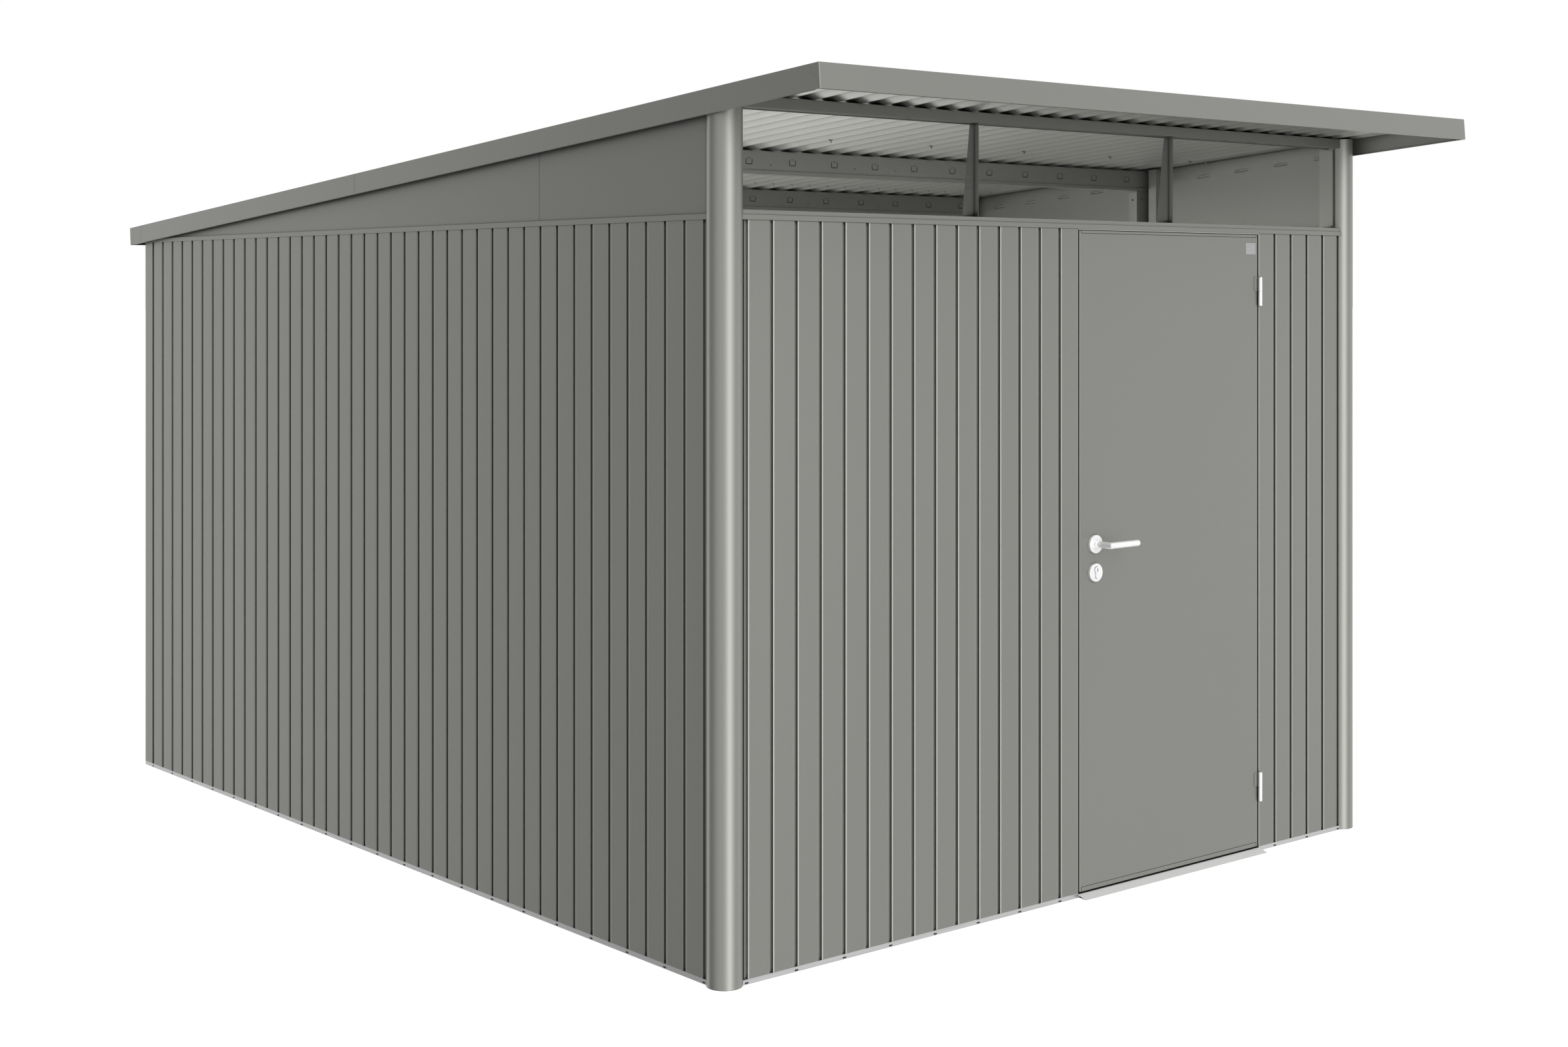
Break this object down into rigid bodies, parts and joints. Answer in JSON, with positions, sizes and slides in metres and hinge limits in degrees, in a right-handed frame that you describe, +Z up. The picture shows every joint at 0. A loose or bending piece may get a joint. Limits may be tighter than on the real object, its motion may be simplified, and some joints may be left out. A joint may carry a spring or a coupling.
{
  "type": "metal storage shed",
  "caption": "Walk-in storage shed of ribbed painted steel with a single-slope corrugated roof, a clear strip over the front and one side-hung door with a lever handle.",
  "frame": {"origin": "on the ground under the middle of the roof outline", "axes": "+X to the right along the front, +Y to the rear, +Z up"},
  "size_m": [2.604, 3.808, 2.2225],
  "materials": {
    "painted_steel": "satin metallic grey paint on galvanised steel sheet",
    "bare_aluminium": "mill-finish aluminium section",
    "bright_fittings": "fine brushed stainless steel",
    "clear_acrylic": "clear acrylic sheet"
  },
  "bodies": {
    "shed": {"front_base_rail_left": "bare_aluminium", "front_base_rail_right": "bare_aluminium", "left_base_rail": "bare_aluminium", "right_base_rail": "bare_aluminium", "rear_base_rail": "bare_aluminium", "door_sill": "bare_aluminium", "front_wall_left": "painted_steel", "front_wall_right": "painted_steel", "left_wall": "painted_steel", "right_wall": "painted_steel", "rear_wall": "painted_steel", "front_left_post": "painted_steel", "front_right_post": "painted_steel", "rear_left_corner": "painted_steel", "rear_right_corner": "painted_steel", "front_head_rail": "painted_steel", "left_head_rail": "painted_steel", "right_head_rail": "painted_steel", "rear_head_rail": "painted_steel", "left_gable": "painted_steel", "right_gable": "painted_steel", "left_wall_posts": "painted_steel", "right_wall_posts": "painted_steel", "header_beam": "painted_steel", "front_purlin": "painted_steel", "middle_purlin": "painted_steel", "rear_purlin": "painted_steel", "roof_sheet": "painted_steel", "front_fascia": "painted_steel", "rear_fascia": "painted_steel", "left_fascia": "painted_steel", "right_fascia": "painted_steel", "transom_panes": "clear_acrylic", "transom_fins": "painted_steel", "left_door_jamb": "painted_steel", "right_door_jamb": "painted_steel", "door_head": "painted_steel", "frame_hinges": "bright_fittings"},
    "door": {"door_hinges": "bright_fittings", "door_leaf": "painted_steel", "handle_rosettes": "bright_fittings", "key_rosettes": "bright_fittings", "lock_cylinder": "bright_fittings"},
    "handle": {"outer_lever": "bright_fittings", "inner_lever": "bright_fittings"}
  },
  "joints": [
    {"name": "door_hinge", "type": "hinge", "parent": "shed", "child": "door", "pos_m": [0.8, -1.519, 0.9], "axis": [0, 0, 1], "range_deg": [0, 110]},
    {"name": "lever_turn", "type": "hinge", "parent": "door", "child": "handle", "pos_m": [0.0625, -1.512, 0.986], "axis": [0, 1, 0], "range_deg": [0, 40], "stiffness_Nm_per_rad": 0.8}
  ]
}
